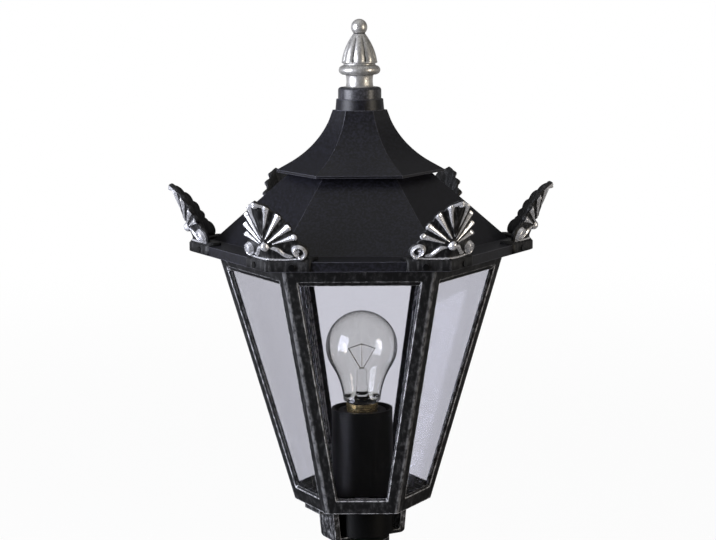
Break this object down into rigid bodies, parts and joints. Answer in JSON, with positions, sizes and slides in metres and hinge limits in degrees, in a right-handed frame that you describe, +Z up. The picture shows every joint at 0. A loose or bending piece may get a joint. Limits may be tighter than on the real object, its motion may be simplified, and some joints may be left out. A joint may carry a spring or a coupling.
{
  "type": "post top lantern",
  "caption": "Hexagonal cast post top lantern with clear panes, a tiered roof, corner palmettes, a ball finial and a filament lamp in a black tube.",
  "frame": {"origin": "centre of the fitter's mouth, where the post enters", "axes": "+Z up the lantern's axis to the finial, -Y out of the front side, corners of the hexagon on X"},
  "size_m": [0.3202, 0.2774, 0.5467],
  "materials": {
    "fitter_iron": "semi-gloss paint",
    "black_satin": "satin paint",
    "black_silvered": "black paint with silver dry-brushed on its edges",
    "roof_black": "satin paint, fine cast texture",
    "tube_black": "satin paint",
    "antique_silver": "silver dry-brushed over black",
    "zinc_steel": "zinc plated",
    "spring_steel": "bare spring steel",
    "clear_glass": "clear",
    "brass": "polished",
    "holder_black": "matte",
    "terminal_white": "matte",
    "button_black": "glossy",
    "tungsten": "dull grey",
    "gasket_rubber": "matte"
  },
  "bodies": {
    "lantern": {"post_fitter": "fitter_iron", "neck_stud": "zinc_steel", "neck_nut": "zinc_steel", "stirrup": "black_satin", "stirrup_screws": "zinc_steel", "body_frame": "black_silvered", "pane_clips": "spring_steel", "clip_screws": "zinc_steel", "lamp_tube": "tube_black", "carrier_disc": "tube_black", "nipple": "zinc_steel", "nipple_nut": "zinc_steel", "terminal_block": "terminal_white", "lampholder": "holder_black", "thread_sleeve": "brass", "centre_contact": "brass", "rod_bridge": "zinc_steel", "bridge_screws": "zinc_steel", "centre_rod": "zinc_steel", "rod_nuts": "zinc_steel", "pane_front": "clear_glass", "pane_front_right": "clear_glass", "pane_back_right": "clear_glass", "pane_back": "clear_glass", "pane_back_left": "clear_glass", "pane_front_left": "clear_glass"},
    "roof": {"roof_gasket": "gasket_rubber", "lower_roof": "roof_black", "roof_spacer": "zinc_steel", "upper_roof": "roof_black", "roof_collar": "roof_black", "palmette_screws": "black_satin", "palmette_1": "black_silvered", "palmette_2": "black_silvered", "palmette_3": "black_silvered", "palmette_4": "black_silvered", "palmette_5": "black_silvered", "palmette_6": "black_silvered"},
    "finial": {"finial": "antique_silver"},
    "bulb": {"bulb_cap": "brass", "bulb_button": "button_black", "bulb_envelope": "clear_glass", "bulb_stem": "clear_glass", "filament": "tungsten"},
    "lock_screw_1": {"lock_screw_1": "zinc_steel"},
    "lock_screw_2": {"lock_screw_2": "zinc_steel"},
    "lock_screw_3": {"lock_screw_3": "zinc_steel"}
  },
  "joints": [
    {"name": "roof_lift", "type": "slide", "parent": "lantern", "child": "roof", "axis": [0, 0, 1], "range_m": [0, 0.16]},
    {"name": "finial_turn", "type": "hinge", "parent": "roof", "child": "finial", "pos_m": [0, 0, 0.4913], "axis": [0, 0, 1], "continuous": true},
    {"name": "bulb_unscrew", "type": "slide", "parent": "lantern", "child": "bulb", "axis": [0, 0, 1], "range_m": [0, 0.035]},
    {"name": "lock_screw_1_turn_in", "type": "slide", "parent": "lantern", "child": "lock_screw_1", "axis": [0.866, 0.5, 0], "range_m": [-0.004, 0.01]},
    {"name": "lock_screw_2_turn_in", "type": "slide", "parent": "lantern", "child": "lock_screw_2", "axis": [-0.866, 0.5, 0], "range_m": [-0.004, 0.01]},
    {"name": "lock_screw_3_turn_in", "type": "slide", "parent": "lantern", "child": "lock_screw_3", "axis": [0, -1, 0], "range_m": [-0.004, 0.01]}
  ]
}
